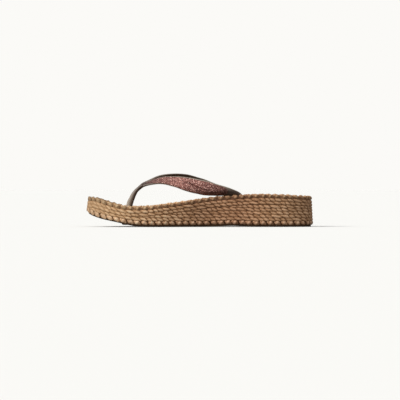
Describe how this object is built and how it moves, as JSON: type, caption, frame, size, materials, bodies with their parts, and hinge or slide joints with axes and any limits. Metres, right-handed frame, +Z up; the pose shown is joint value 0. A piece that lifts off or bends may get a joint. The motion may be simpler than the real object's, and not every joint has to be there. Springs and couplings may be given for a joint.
{
  "type": "platform wedge flip-flop",
  "caption": "Platform wedge flip-flop with a rope-textured side wall, a cupped footbed and a moulded V strap with glitter panels, held by a post between the toes.",
  "frame": {"origin": "on the floor, under the middle of the shoe's bounding box", "axes": "+X towards the heel, +Y towards the outer (lateral) side, +Z up; the toe points along -X"},
  "size_m": [0.2537, 0.0914, 0.0598],
  "materials": {
    "sole_rubber": "matte foamed rubber cast as braided rope, tan brown",
    "footbed_rubber": "matte, mid brown",
    "strap_rubber": "satin moulded rubber, taupe",
    "glitter_panel": "fine glitter, rose bronze"
  },
  "bodies": {
    "root": {"sole": "sole_rubber", "insole": "footbed_rubber", "strap": "strap_rubber", "panel_medial": "glitter_panel", "panel_lateral": "glitter_panel"}
  },
  "joints": []
}
